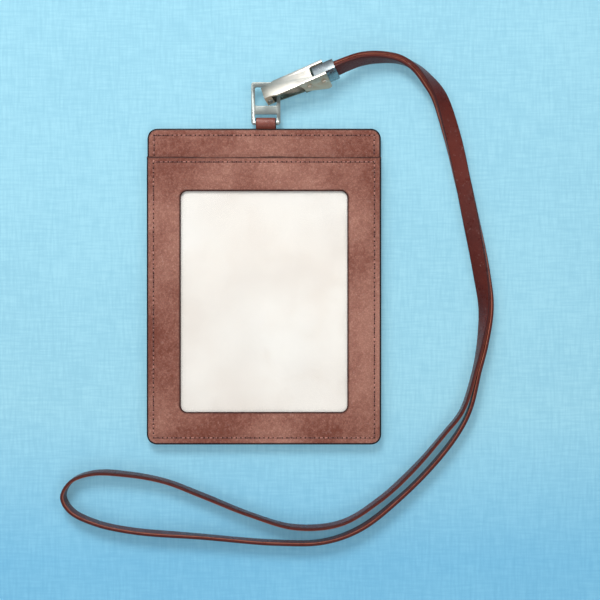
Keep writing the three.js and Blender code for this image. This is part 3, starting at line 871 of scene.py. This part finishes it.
# ---- Neck strap -----------------------------------------------------------------------------

STRAP_W = 7.2
STRAP_T = 1.5
STRAP_STEP = 0.0016
STRAND_SPACING = 1.76
INNER_SIDE = -1  # which side across the strap is inside its loop
NOSE = np.array([-0.0006, 0.0863, 0.0077])
CLIP_YAW, CLIP_PITCH, CLIP_ROLL = 22.0, 9.2, 27.0
CRIMP_RUN_X = [0.0304, 0.0328, 0.0351]
CRIMP_RUN_Z = -0.005

# Where the two strands run side by side: x, y and z in metres, and the lean from upright.
PAIR_RUN = [
    (0.0433, 0.1018, 0.0065, 19), (0.0523, 0.1032, 0.0046, 8), (0.0613, 0.1023, 0.0039, -6),
    (0.0684, 0.0985, 0.0040, -22), (0.0742, 0.0924, 0.0041, -40), (0.0787, 0.0860, 0.0039, -55),
    (0.0846, 0.0692, 0.0029, -78), (0.0898, 0.0480, 0.0023, -97), (0.0943, 0.0263, 0.0030, -112),
    (0.0984, 0.0046, 0.0038, -132), (0.1001, -0.0098, 0.0040, -150),
    (0.0988, -0.0243, 0.0038, -168), (0.0960, -0.0382, 0.0037, -180),
]
# Round the open loop past that run, out along the inner strand and back along the outer one.
LOOP_RUN = [
    (0.0893, -0.0562), (0.0814, -0.0664), (0.0669, -0.0829), (0.0518, -0.0966),
    (0.0346, -0.1069), (0.0139, -0.1087), (-0.0069, -0.1028), (-0.0276, -0.0945),
    (-0.0448, -0.0880), (-0.0621, -0.0848), (-0.0772, -0.0843), (-0.0867, -0.0878),
    (-0.0906, -0.0946), (-0.0871, -0.1012), (-0.0759, -0.1068), (-0.0599, -0.1103),
    (-0.0289, -0.1129), (0.0061, -0.1157), (0.0268, -0.1152), (0.0433, -0.1093),
    (0.0611, -0.0956), (0.0762, -0.0805), (0.0876, -0.0658), (0.0930, -0.0550),
]
LOOP_Z = 0.0037
LOOP_LEAN = -180.0


def clip_matrix():
    """From the clip's own frame to the row frame, in metres."""
    yaw = Matrix.Rotation(math.radians(CLIP_YAW), 4, "Z")
    pitch = Matrix.Rotation(-math.radians(CLIP_PITCH), 4, "Y")
    roll = Matrix.Rotation(-math.radians(CLIP_ROLL), 4, "X")
    return Matrix.Translation(NOSE) @ yaw @ pitch @ roll


CLIP = clip_matrix()


def thickness_axis(ahead, lean):
    """Through the strap's thickness, for its heading and its lean in degrees."""
    left = np.array([-ahead[1], ahead[0], 0.0])
    left /= np.linalg.norm(left)
    up = np.cross(ahead, left)
    turn = math.radians(lean)
    return math.cos(turn) * left - math.sin(turn) * up


def strap_entries():
    """The strap's points with the lean at each, from one end in the crimp to the other."""
    run = [(*(CLIP @ Vector((x, 0, CRIMP_RUN_Z))), CLIP_ROLL) for x in CRIMP_RUN_X] + PAIR_RUN
    places = [np.array(p[:3]) for p in run]

    def strand(side):
        found = []
        for i, (place, entry) in enumerate(zip(places, run)):
            ahead = places[min(i + 1, len(run) - 1)] - places[max(i - 1, 0)]
            ahead /= np.linalg.norm(ahead)
            across = thickness_axis(ahead, entry[3])
            found.append((place + side * STRAND_SPACING * MM / 2 * across, entry[3]))
        return found

    loop = [(np.array([x, y, LOOP_Z]), LOOP_LEAN) for x, y in LOOP_RUN]
    turn = len(run) + len(loop) / 2
    entries = strand(1) + loop + strand(-1)[::-1]
    return [(p, lean if i <= turn else -lean - 360) for i, (p, lean) in enumerate(entries)]


def strap_stations(step):
    """Evenly spaced points along the strap's smooth line, with the lean at each."""
    entries = strap_entries()
    p = [e[0] for e in entries]
    p = [2 * p[0] - p[1], *p, 2 * p[-1] - p[-2]]
    samples, leans = [], []
    for i in range(1, len(p) - 2):
        knots = [0.0]
        for a, b in zip(p[i - 1:i + 2], p[i:i + 3]):
            knots.append(knots[-1] + np.linalg.norm(b - a) ** 0.5)
        for share in np.linspace(0, 1, 41)[:-1]:
            t = knots[1] + share * (knots[2] - knots[1])

            def between(a, b, low, high):
                return (a * (high - t) + b * (t - low)) / (high - low)

            a1 = between(p[i - 1], p[i], knots[0], knots[1])
            a2 = between(p[i], p[i + 1], knots[1], knots[2])
            a3 = between(p[i + 1], p[i + 2], knots[2], knots[3])
            b1 = between(a1, a2, knots[0], knots[2])
            b2 = between(a2, a3, knots[1], knots[3])
            samples.append(between(b1, b2, knots[1], knots[2]))
            low, high = entries[i - 1][1], entries[i][1]
            leans.append(low + (high - low) * share)
    samples.append(entries[-1][0])
    leans.append(entries[-1][1])
    samples = np.array(samples)
    along = np.concatenate([[0], np.cumsum(np.linalg.norm(np.diff(samples, axis=0), axis=1))])
    at = np.linspace(0, along[-1], round(along[-1] / step) + 1)
    line = np.stack([np.interp(at, along, samples[:, k]) for k in range(3)], -1)
    return line, np.interp(at, along, leans), at


def strap_section():
    """Places across the width and thickness, with the painted light on each corner.

    Corners towards the other strand take a painted highlight, and the outer ones painted shade.
    """
    w, t, r = STRAP_W / 2, STRAP_T / 2, 0.42
    section = []
    for sign_w, sign_t, begin in ((1, 1, 0), (-1, 1, 90), (-1, -1, 180), (1, -1, 270)):
        for k, turn in enumerate(np.radians(begin + np.array([0, 22, 45, 68, 90]))):
            # Corners towards the other strand take a painted highlight, and the outer ones painted
            # shade.
            corner = (0.0, 0.4, 0.9, 0.4, 0.0)[k] * sign_t * INNER_SIDE
            section.append((sign_w * (w - r) + r * math.cos(turn),
                            sign_t * (t - r) + r * math.sin(turn), corner))
        if begin in (0, 180):
            for share in (0.2, 0.4, 0.6, 0.8):
                place = sign_w * (w - r) * (1 - 2 * share)
                crown = 0.07 * (1 - (2 * share - 1) ** 2)
                section.append((place, sign_t * (t + crown), 0.0))
    return section


def neck_strap():
    """The strap swept along its route, swaying and swelling a little as leather does."""
    line, leans, at = strap_stations(STRAP_STEP)
    ahead = headings(line)
    section = strap_section()
    points, rim, corners = [], [], []
    for k, place in enumerate(line):
        s = at[k] / MM
        sway = 1.6 * math.sin(s / 19) + 1.1 * math.sin(s / 7.7 + 1)
        inside = ease(min(s, at[-1] / MM - s), 8, 30)
        across = thickness_axis(ahead[k], leans[k] + sway * inside)
        wide = np.cross(ahead[k], across)
        grow = 1 + 0.012 * math.sin(s / 11 + 2) + 0.008 * math.sin(s / 4.3)
        for w, t, corner in section:
            points.append(place / MM + wide * w * grow + across * t)
            rim.append(1 - float(ease(STRAP_W / 2 - abs(w), 0.12, 0.5)))
            corners.append(corner)
    faces = tube(len(line), len(section))
    piece = add_mesh("neck_strap_leather", points, faces, [STRAP_LEATHER], rim=rim, corner=corners)
    settle(piece, "lanyard", "strap_leather", "neck_strap")
    tuple(line[0])


# ---- Metal parts ----------------------------------------------------------------------------


def apply_modifiers(piece):
    """Puts the piece's modifiers into its mesh."""
    bpy.context.view_layer.update()
    shaped = piece.evaluated_get(bpy.context.evaluated_depsgraph_get())
    mesh = bpy.data.meshes.new_from_object(shaped)
    piece.modifiers.clear()
    piece.data = mesh


FLAT_DEG = 1.5  # faces this close to one plane are merged
BEVEL_DEG = 32  # outward corners sharper than this are rounded
SHARP_DEG = 40  # corners left sharper than this aren't shaded smooth


def machined(node, name, material, bevel_mm, segments):
    """A CAD part's shape again, with its flat faces merged and its corners rounded."""
    shape = bmesh.new()
    shape.from_mesh(NODES[node].data)
    bmesh.ops.remove_doubles(shape, verts=shape.verts, dist=1e-6)
    bmesh.ops.dissolve_limit(shape, angle_limit=math.radians(FLAT_DEG), verts=shape.verts,
                             edges=shape.edges)
    weight = shape.edges.layers.float.new("bevel_weight_edge")
    for edge in shape.edges:
        turn = edge.calc_face_angle(0.0) if len(edge.link_faces) == 2 else 0.0
        corner = turn > math.radians(BEVEL_DEG)
        edge[weight] = 1.0 if corner and edge.is_convex else 0.0
    mesh = bpy.data.meshes.new(name)
    shape.to_mesh(mesh)
    shape.free()
    mesh.materials.clear()
    mesh.materials.append(material)
    piece = bpy.data.objects.new(name, mesh)
    bpy.context.scene.collection.objects.link(piece)
    bevel = piece.modifiers.new("bevel", "BEVEL")
    bevel.width = bevel_mm * MM
    bevel.segments = segments
    bevel.limit_method = "WEIGHT"
    bevel.harden_normals = False
    apply_modifiers(piece)
    piece.data.polygons.foreach_set("use_smooth", [True] * len(piece.data.polygons))
    piece.data.set_sharp_from_angle(angle=math.radians(SHARP_DEG))
    return piece


def in_clip(points):
    """Clip-frame millimetres to row-frame millimetres."""
    return [tuple((CLIP @ (Vector(p) * MM)) / MM) for p in points]


PIN_R = 0.75
PIN_SIDES = 28
HEAD_R = 1.25
HEAD_H = 0.5
HEAD_GAP = 0.15  # between a head and the ear beside it
HEAD_DOME = ((0.0, 1.0), (0.35, 0.97), (0.68, 0.80), (0.9, 0.52), (1.0, 0.2), (0.97, 0.0))
WIRE_SIDES = 10


def turned_pin(name, material, at, span):
    """A pin with a domed head outside each ear, turned about the clip's cross axis."""
    half = span / 2 + HEAD_GAP
    side = [(HEAD_R * r, half + HEAD_H * h) for r, h in HEAD_DOME] + [(PIN_R, half - 0.02)]
    profile = side + [(r, -y) for r, y in side[::-1]]
    points = []
    for r, y in profile:
        for k in range(PIN_SIDES):
            turn = 2 * math.pi * k / PIN_SIDES
            points.append((at[0] + max(r, 0.01) * math.cos(turn), y,
                           at[1] + max(r, 0.01) * math.sin(turn)))
    return add_mesh(name, in_clip(points), tube(len(profile), PIN_SIDES), [material])


def wire(name, material, line, radius):
    """A round wire along a line of clip-frame points."""
    line = np.array(line, float)
    ahead = headings(line)
    normal = np.cross(ahead[0], [0.0, 1.0, 0.2])
    points = []
    for place, heading in zip(line, ahead):
        normal = normal - heading * np.dot(normal, heading)
        normal /= np.linalg.norm(normal)
        other = np.cross(heading, normal)
        for k in range(WIRE_SIDES):
            turn = 2 * math.pi * k / WIRE_SIDES
            points.append(place + radius * (math.cos(turn) * normal + math.sin(turn) * other))
    return add_mesh(name, in_clip(points), tube(len(line), WIRE_SIDES), [material])


LEVER_PIN = (20.7, -4.2)  # x and z in the clip's own frame, as the next two are
CRIMP_PIN = (27.5, -5.0)
RIVET_AT = (1.7, -3.6)
EAR_SPAN = 8.1  # across the outsides of the clip's ears
NOSE_SPAN = 6.2
COIL_R = 1.45
COIL_TURNS = 3
COIL_STEPS = 24
COIL_PITCH = 0.75
SPRING_WIRE_R = 0.24


def spring_line():
    """The coil round the lever's pin, with a leg along the plate and one along the lever."""
    x0, z0 = LEVER_PIN
    half = COIL_TURNS * COIL_PITCH / 2
    leg = [(x0 + COIL_R + 0.05, -half, z0 - 2.9 + 0.29 * k) for k in range(10)]
    coil = []
    for k in range(COIL_TURNS * COIL_STEPS + 1):
        turn = 2 * math.pi * k / COIL_STEPS
        coil.append((x0 + COIL_R * math.cos(turn), -half + COIL_PITCH * k / COIL_STEPS,
                     z0 + COIL_R * math.sin(turn)))
    tail = [(x0 + COIL_R, half, z0 + 0.3 * k) for k in range(1, 9)]
    return leg + coil + tail


def metal_parts():
    for node, name, look, bevel_mm, segments, body, slot in [
            ("double_loop", "double_loop_frame", GREY_METAL, 0.42, 4, "loop", "grey_metal"),
            ("clip_body", "clip_body_shell", NICKEL, 0.24, 3, "clip", "nickel"),
            ("clip_lever", "clip_lever_plate", SHADED_LEVER_METAL, 0.16, 3, "lever", "nickel"),
            ("crimp_sleeve", "crimp_sleeve_shell", CRIMP_METAL, 0.3, 3, "lanyard", "grey_metal")]:
        settle(machined(node, name, look, bevel_mm, segments), body, slot, node)
    for node, name, look, at, span, slot in [
            ("lever_pin", "lever_pin_rivet", NICKEL, LEVER_PIN, EAR_SPAN, "nickel"),
            ("crimp_pin", "crimp_pin_rivet", NICKEL, CRIMP_PIN, EAR_SPAN, "nickel"),
            ("nose_rivet", "nose_rivet_pin", GREY_METAL, RIVET_AT, NOSE_SPAN, "grey_metal")]:
        settle(turned_pin(name, look, at, span), "clip", slot, node)
    settle(wire("lever_spring_wire", SPRING_STEEL, spring_line(), SPRING_WIRE_R), "clip",
           "spring_steel", "lever_spring")


# ---- Floor and light --------------------------------------------------------------------------


FLOOR_HALF = 2600.0
FLOOR_LINES = 13
FLOOR_Z = -0.05


def add_floor():
    place = np.linspace(-FLOOR_HALF, FLOOR_HALF, FLOOR_LINES)
    points = [(x, y, FLOOR_Z) for x in place for y in place]
    add_mesh("floor", points, quads(FLOOR_LINES, FLOOR_LINES), [floor_look()])


def area_light(name, at, size, watts, colour=(1, 1, 1), aim=(0.0, 0.0, 0.0)):
    data = bpy.data.lights.new(name, "AREA")
    data.shape = "SQUARE"
    data.size = size
    data.energy = watts
    data.color = colour
    light = bpy.data.objects.new(name, data)
    light.location = at
    light.rotation_euler = (Vector(aim) - Vector(at)).to_track_quat("-Z", "Y").to_euler()
    bpy.context.scene.collection.objects.link(light)


def add_lights():
    """A key light beyond the strap's top end, with soft fill all round."""
    area_light("key", (-0.12, 0.50, 0.60), 0.26, 4.2, (1.0, 0.985, 0.96))
    area_light("gloss", (-0.50, 0.70, 0.50), 0.42, 0.9, aim=(0.01, 0.09, 0.0))
    area_light("right", (0.60, 0.10, 0.80), 0.40, 1.4, (1.0, 0.99, 0.97))
    area_light("front", (0.10, -0.60, 0.66), 0.40, 1.2, (1.0, 0.98, 0.94))
    area_light("left", (-0.62, -0.10, 0.78), 0.40, 1.4, (0.97, 0.99, 1.0))
    world = bpy.data.worlds.new("studio")
    world.use_nodes = True
    shade = world.node_tree.nodes["Background"]
    shade.inputs["Color"].default_value = (0.88, 0.93, 1.0, 1)
    shade.inputs["Strength"].default_value = 0.28
    bpy.context.scene.world = world
    bpy.context.scene.view_settings.view_transform = "Standard"


# ---- Assembly -------------------------------------------------------------------------------

neck_strap()
back_panel()
pocket_panel()
window_panel()
insert_card()
window_film()
stitching()
strap_tab()
metal_parts()

board = NODES["stiffener_board"]
board.data.materials.clear()
board.data.materials.append(BOARD)

add_floor()
add_lights()
